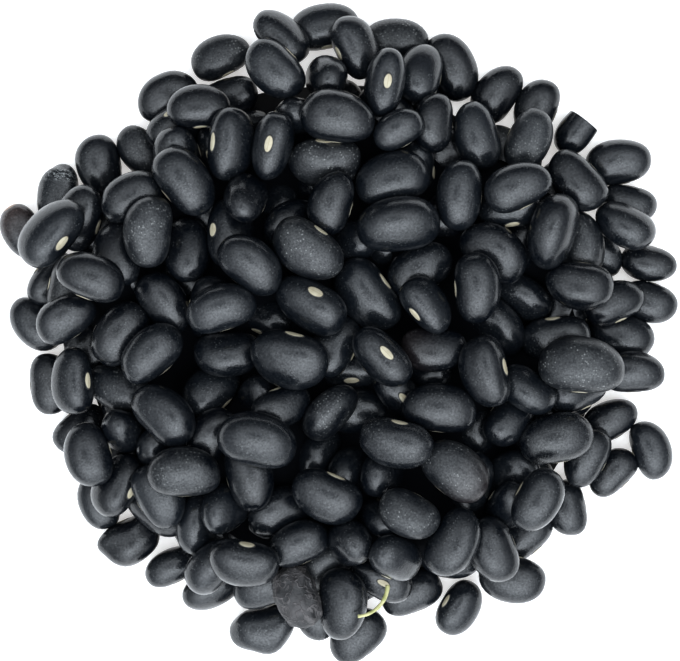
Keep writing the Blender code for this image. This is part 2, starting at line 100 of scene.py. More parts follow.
MIDDLE_BEANS = (
    (-7.0, 31.7, 150, 4, 9.0),
    (-21.0, 24.7, 50, 4, 9.4),
    (-28.4, 18.3, -60, -10, 9.0),
    (-30.3, 11.0, 10, -10, 9.2),
    (-33.2, 14.9, -10, -10, 9.4),
    (-20.8, 11.0, 175, 4, 9.4),
    (-17.2, 12.4, 172, 6, 9.8),
    (-13.7, 16.9, -30, -10, 8.8),
    (-8.3, 16.4, -60, -10, 9.0),
    (-2.9, 35.1, -120, 2, 9.2),
    (-8.6, 0.7, -90, -10, 9.0),
    (-18.1, 4.6, 170, 4, 9.6),
    (10.0, 34.5, -30, -10, 9.0),
    (23.7, 15.7, -90, -10, 9.0),
    (25.0, 5.8, -130, -10, 9.0),
    (22.0, 1.2, -160, -10, 9.8),
    (29.1, 0.1, 95, 4, 9.6),
    (37.0, 3.1, -60, -10, 8.8),
    (3.1, 11.1, -60, -10, 8.8),
    (12.0, 22.2, 20, -10, 8.8),
    (-30.4, -7.9, 90, -10, 9.0),
    (-29.5, -12.3, -160, -10, 9.2),
    (-26.3, -14.4, 50, 4, 9.4),
    (-17.6, -9.5, -30, -10, 9.2),
    (-17.5, -13.9, -20, -10, 9.0),
    (-12.8, -8.9, 150, 4, 9.4),
    (-9.1, -9.6, 100, 8, 8.6),
    (-0.4, -2.9, -15, -10, 9.2),
    (-5.0, -17.0, -60, -10, 9.2),
    (-1.2, -17.9, -40, -10, 9.0),
    (-28.8, -20.8, -10, -10, 9.4),
    (-21.7, -25.7, -10, -10, 9.2),
    (-17.0, -24.3, -60, -10, 9.4),
    (-9.3, -24.8, -75, -10, 9.8),
    (-18.3, -29.6, -60, -10, 9.0),
    (-10.3, -35.0, -60, -10, 9.0),
    (12.7, -5.7, -90, -10, 9.0),
    (3.1, -10.1, -110, 4, 9.4),
    (7.1, -10.0, 60, 80, 8.8),
    (19.3, -12.8, -20, -10, 9.4),
    (22.6, -12.2, 130, -10, 9.0),
    (24.2, -17.5, -60, -10, 8.8),
    (23.6, -21.6, 140, 50, 8.8),
    (19.8, -20.5, -10, -10, 9.6),
    (3.4, -19.3, -60, -10, 9.6),
    (5.2, -25.1, 20, -10, 9.0),
    (30.8, -9.2, -70, -10, 9.6),
    (1.6, -28.7, -60, -10, 9.6),
)
TOP_BEANS = (
    (4.8, -33.0, 62, 80, 8.6),
    (-19.8, 29.6, -82, -4, 8.8),
    (-39.2, 13.3, -42, 50, 10.6),
    (-33.4, -16.6, 10, -10, 8.8),
    (-36.0, -6.8, 12, -5, 9.2),
    (-37.5, 1.8, -65, -5, 8.8),
    (-33.5, 7.2, -110, 8, 9.4),
    (38.5, 14.4, 75, -5, 8.8),
    (12.3, 28.0, -15, -10, 8.2),
    (7.9, 27.3, -60, -20, 7.2),
    (26.6, -22.7, 150, -5, 9.0),
    (25.4, -8.4, 52, -8, 8.4),
    (21.7, 11.6, -120, -5, 10.0),
    (7.1, -29.9, -115, -5, 9.0),
    (-5.4, -28.2, -68, 8, 8.6),
    (-24.8, -21.8, 200, -3, 9.2),
    (-12.5, -20.0, 185, -2, 9.4),
    (-30.0, -0.3, -35, -10, 9.6),
    (12.6, -2.6, 90, -12, 9.0),
    (-23.8, 3.7, -138, -12, 9.4),
    (7.1, 20.7, -70, -10, 10.2),
    (-2.0, 22.9, 90, 35, 10.0),
    (20.9, -29.1, 15, 2, 9.2),
    (9.2, -24.7, 65, -8, 8.6),
    (15.6, -18.9, -130, -10, 10.0),
    (-15.4, -3.3, 98, -12, 9.4),
    (-16.0, 3.0, -72, -10, 9.6),
    (18.7, 26.7, 15, -10, 9.4),
    (26.0, 26.3, 155, -6, 8.8),
    (24.1, 19.4, -68, -10, 9.4),
    (16.2, 18.4, -5, -10, 9.6),
    (10.8, 8.2, -52, -12, 9.8),
    (32.7, 6.2, 80, -10, 9.4),
    (-12.4, -30.9, 78, 12, 9.6),
    (0.3, -37.2, 175, 5, 9.9),
    (32.7, -4.8, -94, -10, 11.8),
    (32.5, 20.6, 40, -10, 9.6),
    (28.9, 13.8, -12, -10, 10.6),
    (28.4, -14.5, -80, -10, 10.2),
    (-21.5, 20.1, -125, -10, 10.4),
    (-14.7, 25.0, 175, 18, 10.0),
    (-8.8, 24.9, 165, 75, 9.4),
    (6.1, 33.4, -10, 75, 9.5),
    (-0.3, 28.9, -100, -5, 10.2),
    (-1.2, 17.4, -20, 10, 8.8),
    (-25.9, 13.5, -3, -10, 9.8),
    (-12.7, 8.2, 218, -10, 9.8),
    (-3.8, 11.6, 45, -5, 10.4),
    (-21.1, -19.1, -90, -10, 10.0),
    (-23.4, -12.2, -118, -12, 10.0),
    (-11.1, -15.0, -106, -10, 10.8),
    (-25.8, -2.9, -45, -10, 9.6),
    (-2.0, -11.0, -45, -10, 9.0),
    (-1.4, -23.0, 55, 12, 9.9),
    (15.3, -28.6, 152, -6, 9.8),
    (13.3, -10.5, -95, -10, 10.0),
    (8.1, -15.8, 82, 34, 10.0),
    (19.5, -5.4, 15, 28, 9.9),
    (11.5, 3.0, 215, 25, 8.6),
    (3.4, 4.3, 52, 26, 11.0),
    (-4.1, 4.3, 52, 72, 10.6),
    (5.7, -3.9, 45, 68, 9.6),
    (-6.4, -4.0, 88, 6, 10.8),
    (18.6, 5.9, 172, 2, 9.6),
    (7.9, 15.1, -87, -12, 11.4),
)
BROKEN_BEAN = (33.3, 28.3, -38, 80, 8.8)
WRINKLED_BEAN = (-5.8, -35.6, 25, 20, 8.8)


class Kind(Enum):
    """The kinds of bean. All beans of a kind are one piece."""

    SATIN = "satin_beans"
    DUSTY = "dusty_beans"
    WRINKLED = "wrinkled_bean"
    BROKEN = "broken_bean"


@dataclass(frozen=True)
class BeanSizes:
    """The middling bean, in mm, and how far beans differ from it."""

    length: float = 9.8
    width: float = 6.7
    thickness: float = 5.6
    spread: float = 0.055
    boxiness: float = 2.25
    kidney_bend: float = 0.12
    end_taper: float = 0.07
    eye_dip: float = 0.035


@dataclass(frozen=True)
class Coat:
    """What sets one bean's coat apart from the next."""

    tone: float = 0.0
    dust: float = 0.0
    brown: float = 0.0
    torn_with_glints: float = 0.0
    dents: float = 0.0


@dataclass
class Bean:
    """One bean: its form and, once it is laid, its middle in mm and the way it is turned."""

    sizes: BeanSizes
    half: Array
    bend: float
    taper: float
    cut: float = 1.0
    wrinkles: float = 0.0
    kind: Kind = Kind.SATIN
    coat: Coat = Coat()
    lumps: Array = field(default_factory=lambda: np.zeros((0, 5)))
    middle: Array = field(default_factory=lambda: np.zeros(3))
    turn: Array = field(default_factory=lambda: np.eye(3))

    @classmethod
    def drawn(cls, rng: np.random.Generator, length: float | None = None) -> "Bean":
        """Draws a bean's form.

        Args:
            rng: The heap's random draws.
            length: The bean's length in mm, or None for a drawn one.

        Returns:
            The bean, not laid yet.
        """
        sizes = BeanSizes()
        spread = rng.normal(0.0, sizes.spread, 3)
        share = length / sizes.length if length else 1.0 + spread[0]
        widths = share * (1.0 + 0.6 * spread[1:])
        half = 0.5 * np.array(
            (sizes.length * share, sizes.width * widths[0], sizes.thickness * widths[1])
        )
        bend = sizes.kidney_bend * rng.uniform(0.6, 1.4)
        taper = sizes.end_taper * rng.uniform(-1.0, 1.6)
        return cls(sizes, half, bend, taper)

    def surface(self, directions: Array) -> Array:
        """Points of the bare form, in the bean's own axes.

        Args:
            directions: Unit directions. x runs along the bean, the eye is at -y, z is its thickness.

        Returns:
            The points, in mm from the bean's middle.
        """
        powers = np.abs(directions) ** self.sizes.boxiness
        points = directions / powers.sum(axis=1, keepdims=True) ** (1.0 / self.sizes.boxiness)
        along = points[:, 0].copy()
        points[:, 1:] *= (1.0 - self.taper * along)[:, None]
        dip = self.sizes.eye_dip * np.exp(-((along / 0.3) ** 2)) * (points[:, 1] < 0.0)
        points[:, 1] += self.bend * (0.25 - along**2) + dip
        if self.wrinkles:
            ripple = np.sin(7.0 * directions).prod(axis=1)
            points *= (1.0 + self.wrinkles * ripple)[:, None]
        points[:, 0] = np.minimum(points[:, 0], 2.0 * self.cut - 1.0)
        return points * self.half

    def skin(self, directions: Array) -> Array:
        """The bare form with the low lumps that a dried coat has, in the bean's own axes.

        Args:
            directions: Unit directions, as for surface.

        Returns:
            The points, in mm from the bean's middle.
        """
        points = self.surface(directions)
        for *wave, phase, depth in self.lumps:
            points = points * (1.0 + depth * np.sin(directions @ np.array(wave) + phase))[:, None]
        return points

    def placed(self, points: Array) -> Array:
        """Moves points in the bean's own axes to where the bean lies, and none below the table."""
        moved = points @ self.turn.T + self.middle
        moved[:, 2] = np.maximum(moved[:, 2], 0.0)
        return moved


def sphere_directions(count: int) -> Array:
    """Unit directions spread evenly over a sphere, along a spiral."""
    steps = np.arange(count) + 0.5
    tilt = np.arccos(1.0 - 2.0 * steps / count)
    round_ = math.pi * (1.0 + math.sqrt(5.0)) * steps
    return np.stack(
        [np.sin(tilt) * np.cos(round_), np.sin(tilt) * np.sin(round_), np.cos(tilt)], axis=1
    )


def turns(headings: Array, pitches: Array, rolls: Array) -> Array:
    """Rotation matrices: a roll about the length, then a pitch, then the heading."""
    ch, sh = np.cos(headings), np.sin(headings)
    cp, sp = np.cos(pitches), np.sin(pitches)
    cr, sr = np.cos(rolls), np.sin(rolls)
    rows = [
        [ch * cp, ch * sp * sr - sh * cr, ch * sp * cr + sh * sr],
        [sh * cp, sh * sp * sr + ch * cr, sh * sp * cr - ch * sr],
        [-sp, cp * sr, cp * cr],
    ]
    return np.array(rows).transpose(2, 0, 1)


@dataclass(frozen=True)
class Settling:
    """How a bean comes to rest.

    Its room to move in x, y, heading, pitch and roll is in mm and radians. Grip and level are the
    mm that it must come down for each one that it slides and for each radian that it tips. Reach
    is how far out it may lie, as a share of the outline.
    """

    room: tuple[float, ...]
    grip: float
    level: float
    reach: float


@dataclass
class Heap:
    """The heap's form in mm, the beans laid so far, and a map of the height of their upper side."""

    radius: float = 45.8
    depth_share: float = 0.975
    height_mm: float = 22.0
    slope_power: float = 0.8
    top_room: float = 15.5
    seed: int = 10
    place: tuple[float, float] = (0.15, 0.42)
    bulges: tuple[tuple[float, int, float], ...] = (
        (0.020, 2, 165.0),
        (0.016, 3, 30.0),
        (0.016, 5, 25.0),
        (0.014, 8, 165.0),
    )
    cell: float = 0.3
    map_half: float = 54.0
    contact_points: int = 240
    stamp_points: int = 5200
    poured: Settling = Settling((1.6, 1.6, 0.5, 0.35, 0.4), 0.7, 2.5, 0.87)
    loose: Settling = Settling((0.5, 0.5, 0.2, 0.5, 0.4), 0.3, 0.0, 1.08)
    placed: Settling = Settling((0.35, 0.35, 0.1, 0.5, 0.25), 0.7, 2.5, 1.08)
    floor_reach: float = 0.92
    touch_share: float = 0.88
    settle_rounds: int = 26
    settle_trials: int = 12
    floor_trials: int = 320
    pour_trials: int = 150
    most_misses: int = 60
    leaning_share: float = 0.35
    level_within: float = 1.16
    outside_penalty: float = 50.0
    bare_within: float = 0.88
    bare_below: float = 1.0
    bare_pull: float = 9.0
    broken_share: float = 0.62
    wrinkle_depth: float = 0.09
    beans: list[Bean] = field(default_factory=list)

    def __post_init__(self) -> None:
        """Starts the draws and the height map."""
        self.rng = np.random.default_rng(self.seed)
        side = int(2 * self.map_half / self.cell)
        self.height = np.zeros((side, side))
        self.contact = sphere_directions(self.contact_points)
        self.stamp = sphere_directions(self.stamp_points)

    def outline_share(self, x: Array, y: Array) -> Array:
        """How far points are out from the centre, as a share of the outline's radius there."""
        heading = np.arctan2(y, x)
        radius = 1.0
        for share, count, first in self.bulges:
            radius = radius + share * np.cos(count * (heading - math.radians(first)))
        return np.hypot(x, y / self.depth_share) / (self.radius * radius)

    def slope_height(self, x: Array, y: Array) -> Array:
        """Height of the poured heap's smooth outer form."""
        thickness = BeanSizes().thickness
        inner = np.clip(1.0 - self.outline_share(x, y) ** 2, 0.0, 1.0)
        return thickness + (self.height_mm - self.top_room - thickness) * inner**self.slope_power

    def cells(self, x: Array, y: Array) -> tuple[Array, Array]:
        """Map cells of points given in x and y."""
        return (
            ((x + self.map_half) / self.cell).astype(int),
            ((y + self.map_half) / self.cell).astype(int),
        )

    def rest(self, bean: Bean, poses: Array) -> tuple[Array, Array, Array]:
        """Drops a bean straight down in each pose.

        Args:
            bean: The bean.
            poses: One row for each pose: x, y, heading, pitch and roll.

        Returns:
            The middle's height at first touch, the reach as a share of the outline, and the share of
            the bean that lies over bare table.
        """
        touching = self.touch_share * bean.surface(self.contact)
        turned = touching @ turns(*poses[:, 2:].T).transpose(0, 2, 1)
        x = turned[:, :, 0] + poses[:, :1]
        y = turned[:, :, 1] + poses[:, 1:2]
        below = self.height[self.cells(x, y)]
        touch = (below - turned[:, :, 2]).max(axis=1)
        out = self.outline_share(x, y)
        bare = ((below < self.bare_below) & (out < self.bare_within)).mean(axis=1)
        return np.round(touch, 4), out.max(axis=1), bare

    def settle(self, bean: Bean, pose: Array, settling: Settling) -> tuple[Array, float]:
        """Lets a bean rock and slide down.

        Args:
            bean: The bean.
            pose: Where it starts.
            settling: How it comes to rest.

        Returns:
            The pose that it comes to, and the height of its middle there.
        """
        x, y = pose[:2]
        height = self.rest(bean, pose[None])[0][0]
        best = height + settling.level * abs(pose[3])
        for step in range(self.settle_rounds):
            room = np.array(settling.room) * 0.9**step
            trials = pose + room * self.rng.uniform(-1.0, 1.0, (self.settle_trials, 5))
            heights, reach, _ = self.rest(bean, trials)
            slid = np.hypot(trials[:, 0] - x, trials[:, 1] - y)
            effort = heights + settling.grip * slid + settling.level * np.abs(trials[:, 3])
            effort = np.round(effort + self.outside_penalty * (reach > settling.reach), 4)
            easiest = int(np.argmin(effort))
            if effort[easiest] < best:
                best, pose, height = effort[easiest], trials[easiest], heights[easiest]
        return pose, height

    def lay(self, bean: Bean, pose: Array, height: float) -> None:
        """Adds the bean to the heap at that pose."""
        bean.turn = turns(*pose[None, 2:].T)[0]
        bean.middle = np.array([pose[0], pose[1], height])
        points = bean.placed(bean.surface(self.stamp))
        np.maximum.at(self.height, self.cells(points[:, 0], points[:, 1]), points[:, 2])
        self.beans.append(bean)

    def put(self, row: tuple[float, ...], settling: Settling, **form: float) -> Bean:
        """Lays a bean at a chosen place, with its eye's side turned the way that is asked.

        Args:
            row: x, y, heading of the eye's side, its lift, and the bean's length.
            settling: How it comes to rest.
            form: Other values of the bean's form, such as its cut.

        Returns:
            The bean.
        """
        x, y, eye_heading, eye_lift, length = row
        bean = Bean.drawn(self.rng, length)
        for name, value in form.items():
            setattr(bean, name, value)
        heading = math.radians(eye_heading + 90.0)
        pose = np.array([x, y, heading, 0.0, -math.radians(eye_lift)])
        self.lay(bean, *self.settle(bean, pose, settling))
        return bean

    def random_poses(self, count: int, nearest: float) -> Array:
        """Poses spread over the plan, from a share of the radius outwards, and at any heading."""
        poses = np.zeros((count, 5))
        out = np.sqrt(self.rng.uniform(nearest**2, 1.0, count)) * self.radius
        bearing = self.rng.uniform(0.0, 2.0 * math.pi, count)
        poses[:, 0] = out * np.cos(bearing)
        poses[:, 1] = out * np.sin(bearing) * self.depth_share
        poses[:, 2] = self.rng.uniform(0.0, 2.0 * math.pi, count)
        return poses

    def lay_floor(self) -> None:
        """Lays beans on the table from the rim inwards, until there is no room for another."""
        missed = 0
        nearest = 0.75
        while missed < self.most_misses or nearest > 0.0:
            if missed >= self.most_misses:
                missed, nearest = 0, nearest - 0.25
            bean = Bean.drawn(self.rng)
            poses = self.random_poses(self.floor_trials, nearest)
            poses[:, 4] = self.rng.normal(0.0, 0.1, self.floor_trials)
            heights, reach, _ = self.rest(bean, poses)
            clear = (heights < self.level_within * bean.half[2]) & (reach < self.floor_reach)
            missed += 1
            if clear.any():
                missed = 0
                chosen = int(np.argmax(np.where(clear, np.round(reach, 6), 0.0)))
                self.lay(bean, poses[chosen], heights[chosen])

    def pour(self) -> None:
        """Drops beans where the heap is furthest below its slope, until none fits under it."""
        missed = 0
        while missed < self.most_misses:
            bean = Bean.drawn(self.rng)
            poses = self.random_poses(self.pour_trials, 0.0)
            poses[:, 3] = self.rng.normal(0.0, 0.15, self.pour_trials)
            leaning = self.rng.uniform(-math.pi, math.pi, self.pour_trials)
            lying = self.rng.normal(0.0, 0.2, self.pour_trials)
            leans = self.rng.uniform(size=self.pour_trials) < self.leaning_share
            poses[:, 4] = np.where(leans, leaning, lying)
            heights, reach, bare = self.rest(bean, poses)
            limit = self.slope_height(poses[:, 0], poses[:, 1]) - bean.half[2]
            outside = reach > self.poured.reach
            over = heights - limit - self.bare_pull * bare + self.outside_penalty * outside
            over = np.round(over, 4)
            chosen = int(np.argmin(over))
            missed += 1
            if over[chosen] < 0.0:
                missed = 0
                self.lay(bean, *self.settle(bean, poses[chosen], self.poured))

    def fill(self) -> None:
        """Lays the whole heap, in the order in which its solid was laid."""
        for row in LOW_BEANS:
            self.put(row, self.placed)
        self.put(BROKEN_BEAN, self.placed, cut=self.broken_share).kind = Kind.BROKEN
        self.lay_floor()
        self.pour()
        for row in MIDDLE_BEANS:
            self.put(row, self.loose)
        for row in TOP_BEANS:
            self.put(row, self.placed)
        self.put(WRINKLED_BEAN, self.placed, wrinkles=self.wrinkle_depth).kind = Kind.WRINKLED

    def low_beans(self) -> list[Bean]:
        """The beans of LOW_BEANS, in its order."""
        return self.beans[: len(LOW_BEANS)]

    def top_beans(self) -> list[Bean]:
        """The beans of TOP_BEANS, in its order."""
        return self.beans[-1 - len(TOP_BEANS) : -1]

    def shift_to_origin(self) -> None:
        """Moves the beans so that the heap's box is centred over the origin."""
        for bean in self.beans:
            bean.middle = bean.middle + np.array((*self.place, 0.0))


@dataclass
class Coats:
    """Hands each bean its coat: tone, dust, a brown tip or a torn patch with painted highlights along its
    cracks, and its low lumps.
    """

    seed: int = 41
    low: dict[int, Coat] = field(
        default_factory=lambda: {
            1: Coat(dust=0.7, dents=0.03),
            22: Coat(dust=0.3, dents=0.035),
            25: Coat(dents=0.035),
            31: Coat(dust=0.3, brown=1.0),
            32: Coat(dust=0.4, torn_with_glints=1.0, dents=0.02),
            34: Coat(dust=0.7),
            36: Coat(dust=0.8),
        }
    )
    top: dict[int, Coat] = field(
        default_factory=lambda: {
            0: Coat(dents=0.03),
            18: Coat(brown=0.3),
            21: Coat(dust=0.8, dents=0.02),
            23: Coat(dust=1.0),
            24: Coat(dust=0.8, brown=0.3),
            28: Coat(dust=0.9),
            35: Coat(dust=1.0),
            38: Coat(dust=0.4),
            45: Coat(dust=0.9, dents=0.025),
            47: Coat(dust=1.0),
            48: Coat(dust=0.5),
            52: Coat(dust=0.8),
            56: Coat(dust=0.4),
        }
    )
    usual_dust: float = 0.2
    dusty_share: float = 0.12
    dusty_from: float = 0.35
    lump_count: int = 3
    lump_depth: float = 0.007

    def dress(self, heap: Heap) -> None:
        """Gives every bean of the heap its coat."""
        rng = np.random.default_rng(self.seed)
        for bean in heap.beans:
            waves = rng.normal(0.0, 2.6, (self.lump_count, 3))
            phases = rng.uniform(0.0, 2.0 * math.pi, (self.lump_count, 1))
            depths = self.lump_depth * rng.uniform(0.4, 1.6, (self.lump_count, 1))
            bean.lumps = np.hstack([waves, phases, depths])
            dust = float(rng.uniform(0.3, 0.9)) if rng.uniform() < self.dusty_share else self.usual_dust
            bean.coat = Coat(tone=float(rng.normal(0.0, 1.0)), dust=dust)
        for beans, coats in ((heap.low_beans(), self.low), (heap.top_beans(), self.top)):
            for bean in beans:
                bean.coat = Coat(tone=bean.coat.tone, dust=self.usual_dust)
            for row, coat in coats.items():
                bean = beans[row]
                bean.coat = replace(coat, tone=bean.coat.tone, dust=max(coat.dust, self.usual_dust))
                if coat.dents:
                    bean.lumps[:, 4] = coat.dents
        for bean in heap.beans:
            if bean.kind is Kind.SATIN and bean.coat.dust > self.dusty_from:
                bean.kind = Kind.DUSTY


class Nodes:
    """Lays out the nodes of a material, a group or the world, so that each reads as a short list."""

    def __init__(self, tree: bpy.types.NodeTree) -> None:
        """Keeps the tree that the nodes are added to."""
        self.tree = tree

    def add(self, kind: str, values: dict | None = None, **settings: object) -> bpy.types.Node:
        """Adds a node.

        Args:
            kind: Blender's name for the node's type.
            values: Input names with a number, or with the socket that is joined to them.
            settings: The node's own settings.

        Returns:
            The node.
        """
        node = self.tree.nodes.new(kind)
        for name, value in settings.items():
            setattr(node, name, value)
        for name, value in (values or {}).items():
            self.join(value, node.inputs[name])
        return node

    def join(self, value: object, socket: bpy.types.NodeSocket) -> None:
        """Sets a socket to a number, or joins another node's socket to it."""
        if isinstance(value, bpy.types.NodeSocket):
            self.tree.links.new(value, socket)
        else:
            socket.default_value = value

    def ramp(self, value: object, stops: tuple, smooth: bool = False) -> bpy.types.NodeSocket:
        """Turns a value into a colour or a grey.

        Args:
            value: The socket that is read.
            stops: Pairs of a place from 0 to 1 and a grey, or a colour of three numbers.
            smooth: Whether the stops are joined by a smooth curve.

        Returns:
            The colour's socket.
        """
        node = self.add("ShaderNodeValToRGB", {"Fac": value})
        node.color_ramp.interpolation = "EASE" if smooth else "LINEAR"
        marks = node.color_ramp.elements
        marks[0].position, marks[1].position = stops[0][0], stops[-1][0]
        for place, _ in stops[1:-1]:
            marks.new(place)
        for mark, (_, colour) in zip(marks, stops):
            rgb = colour if isinstance(colour, tuple) else (colour, colour, colour)
            mark.color = (*rgb, 1.0)
        return node.outputs["Color"]

    def math(self, operation: str, first: object, second: object = 0.0) -> bpy.types.NodeSocket:
        """One sum on one or two values."""
        node = self.tree.nodes.new("ShaderNodeMath")
        node.operation = operation
        self.join(first, node.inputs[0])
        self.join(second, node.inputs[1])
        return node.outputs[0]

    def scaled(self, value: object, factor: object, base: object) -> bpy.types.NodeSocket:
        """A value times a factor, plus a base."""
        node = self.tree.nodes.new("ShaderNodeMath")
        node.operation = "MULTIPLY_ADD"
        for given, socket in zip((value, factor, base), node.inputs):
            self.join(given, socket)
        return node.outputs[0]

    def mix(self, share: object, first: object, second: object) -> bpy.types.NodeSocket:
        """Mixes two colours by a share."""
        node = self.tree.nodes.new("ShaderNodeMix")
        node.data_type = "RGBA"
        self.join(share, node.inputs[0])
        for value, socket in ((first, node.inputs[6]), (second, node.inputs[7])):
            self.join((*value, 1.0) if isinstance(value, tuple) else value, socket)
        return node.outputs[2]

    def attribute(self, name: str, output: str = "Fac") -> bpy.types.NodeSocket:
        """Reads one of the piece's own attributes."""
        return self.add("ShaderNodeAttribute", attribute_name=name).outputs[output]

    def place(self) -> bpy.types.NodeSocket:
        """Reads the place in the object's own axes."""
        return self.add("ShaderNodeTexCoord").outputs["Object"]

    def relief(self, height: object, strength_depth: tuple[float, float], surface: bpy.types.Node) -> None:
        """Gives a surface fine relief, by its height map, its strength and its depth in metres."""
        strength, depth = strength_depth
        bump = self.add("ShaderNodeBump", {"Height": height, "Strength": strength, "Distance": depth})
        self.join(bump.outputs["Normal"], surface.inputs["Normal"])


def new_group(name: str, inputs: dict, outputs: dict) -> tuple[bpy.types.NodeTree, Nodes]:
    """Starts a shader node group.

    Args:
        name: The group's name.
        inputs: Input names, each with its socket type and its usual value.
        outputs: Output names, each with its socket type.

    Returns:
        The group and the helper that adds its nodes.
    """
    group = bpy.data.node_groups.new(name, "ShaderNodeTree")
    for title, (kind, usual) in inputs.items():
        socket = group.interface.new_socket(name=title, in_out="INPUT", socket_type=kind)
        if usual is not None:
            socket.default_value = usual
    for title, kind in outputs.items():
        group.interface.new_socket(name=title, in_out="OUTPUT", socket_type=kind)
    return group, Nodes(group)


class Grain:
    """Fine grain of a dry plant skin: small pits and paler points, in patches."""

    def __init__(self) -> None:
        """Builds the group once for all materials."""
        number = "NodeSocketFloat"
        self.group, nodes = new_group(
            "fine grain",
            {
                "Vector": ("NodeSocketVector", None),
                "Grain per metre": (number, 3200.0),
                "Patches per metre": (number, 420.0),
            },
            {"Pits": number, "Points": number, "Patches": number},
        )
        given = nodes.add("NodeGroupInput").outputs
        small = {"Vector": given["Vector"], "Scale": given["Grain per metre"]}
        large = {"Vector": given["Vector"], "Scale": given["Patches per metre"]}
        fine = nodes.add("ShaderNodeTexNoise", {**small, "Detail": 2.0, "Roughness": 0.6})
        cells = nodes.add("ShaderNodeTexVoronoi", {**small, "Randomness": 1.0})
        wide = nodes.add("ShaderNodeTexNoise", {**large, "Detail": 3.0, "Roughness": 0.55})
        leaving = nodes.add("NodeGroupOutput").inputs
        nodes.join(fine.outputs["Fac"], leaving["Pits"])
        nodes.join(nodes.ramp(cells.outputs["Distance"], ((0.10, 1.0), (0.32, 0.0))), leaving["Points"])
        nodes.join(nodes.ramp(wide.outputs["Fac"], ((0.38, 0.0), (0.66, 1.0)), True), leaving["Patches"])

    def place(self, nodes: Nodes, counts: tuple[float, float]) -> bpy.types.NodeOutputs:
        """Places the group in a material, in the object's own axes.

        Args:
            nodes: The material's nodes.
            counts: Pits for each metre, and patches for each metre.

        Returns:
            The group's outputs.
        """
        node = nodes.tree.nodes.new("ShaderNodeGroup")
        node.node_tree = self.group
        nodes.join(nodes.place(), node.inputs["Vector"])
        node.inputs["Grain per metre"].default_value, node.inputs["Patches per metre"].default_value = counts
        return node.outputs


@dataclass(frozen=True)
class CoatFinish:
    """The beans' satin seed coat: near black and slightly blue, with fine pits and paler dust."""

    name: str = "black_seed_coat"
    dark: tuple[float, float, float] = (0.0008, 0.0016, 0.0032)
    light: tuple[float, float, float] = (0.0060, 0.0078, 0.0104)
    dust: tuple[float, float, float] = (0.20, 0.205, 0.20)
    brown: tuple[float, float, float] = (0.060, 0.042, 0.038)
    tip: tuple[float, float, float] = (0.30, 0.17, 0.10)
    # Pale colour of the torn coat's cracks; it also paints the highlights along their peeled edges.
    torn_with_glints: tuple[float, float, float] = (0.30, 0.31, 0.31)
    pits_patches: tuple[float, float] = (3500.0, 260.0)
    specks_patches: tuple[float, float] = (2100.0, 420.0)
    tone_step: float = 0.10
    film_share: float = 0.14
    speck_share: float = 0.75
    speck_height: float = 1.5
    roughness: float = 0.20
    roughness_spread: float = 0.08
    dusty_roughness: float = 0.38
    relief: tuple[float, float] = (0.5, 0.00005)

    def made(self, grain: Grain) -> bpy.types.Material:
        """Builds the material."""
        material, nodes, surface = new_material(self.name)
        fine = grain.place(nodes, self.pits_patches)
        specks = grain.place(nodes, self.specks_patches)
        tone = nodes.scaled(nodes.attribute("tone"), self.tone_step, -self.tone_step)
        shade = nodes.math("ADD", tone, fine["Pits"])
        coat = nodes.mix(nodes.ramp(shade, ((0.20, 0.0), (0.62, 1.0))), self.dark, self.light)
        dusty = nodes.attribute("dust")
        patches = nodes.math("MULTIPLY", dusty, specks["Patches"])
        film = nodes.math("MULTIPLY", patches, fine["Pits"])
        points = nodes.math("MULTIPLY", specks["Points"], patches)
        powder = nodes.scaled(film, self.film_share, nodes.math("MULTIPLY", points, self.speck_share))
        coat = nodes.mix(powder, coat, self.dust)
        browned = nodes.attribute("brown")
        flaking = nodes.ramp(fine["Pits"], ((0.3, 0.4), (0.7, 1.0)))
        coat = nodes.mix(nodes.math("MULTIPLY", browned, flaking), coat, self.brown)
        coat = nodes.mix(nodes.ramp(browned, ((0.92, 0.0), (0.97, 1.0))), coat, self.tip)
        # Pale lines along the cracks of a torn coat: partly the split coat, partly painted highlights on its
        # peeled edges.
        torn_with_glints = nodes.attribute("torn_with_glints")
        edge = nodes.math("ADD", torn_with_glints, nodes.scaled(specks["Pits"], 0.9, -0.45))
        edge = nodes.math("ABSOLUTE", nodes.scaled(nodes.math("PINGPONG", edge, 0.30), 1.0, -0.15))
        line = nodes.math("MULTIPLY", nodes.ramp(edge, ((0.01, 1.0), (0.05, 0.0))), specks["Patches"])
        peeled_glint_mask = nodes.ramp(torn_with_glints, ((0.05, 0.0), (0.25, 1.0)))
        coat = nodes.mix(nodes.math("MULTIPLY", line, peeled_glint_mask), coat, self.torn_with_glints)
        nodes.join(coat, surface.inputs["Base Color"])
        smoothest = self.roughness - 0.5 * self.roughness_spread
        rough = nodes.scaled(fine["Pits"], self.roughness_spread, smoothest)
        dull = nodes.scaled(dusty, self.dusty_roughness - self.roughness, rough)
        nodes.join(dull, surface.inputs["Roughness"])
        gloss = nodes.ramp(fine["Pits"], ((0.32, 0.36), (0.68, 0.66)))
        nodes.join(gloss, surface.inputs["Specular IOR Level"])
        nodes.relief(nodes.scaled(points, self.speck_height, fine["Pits"]), self.relief, surface)
        return material


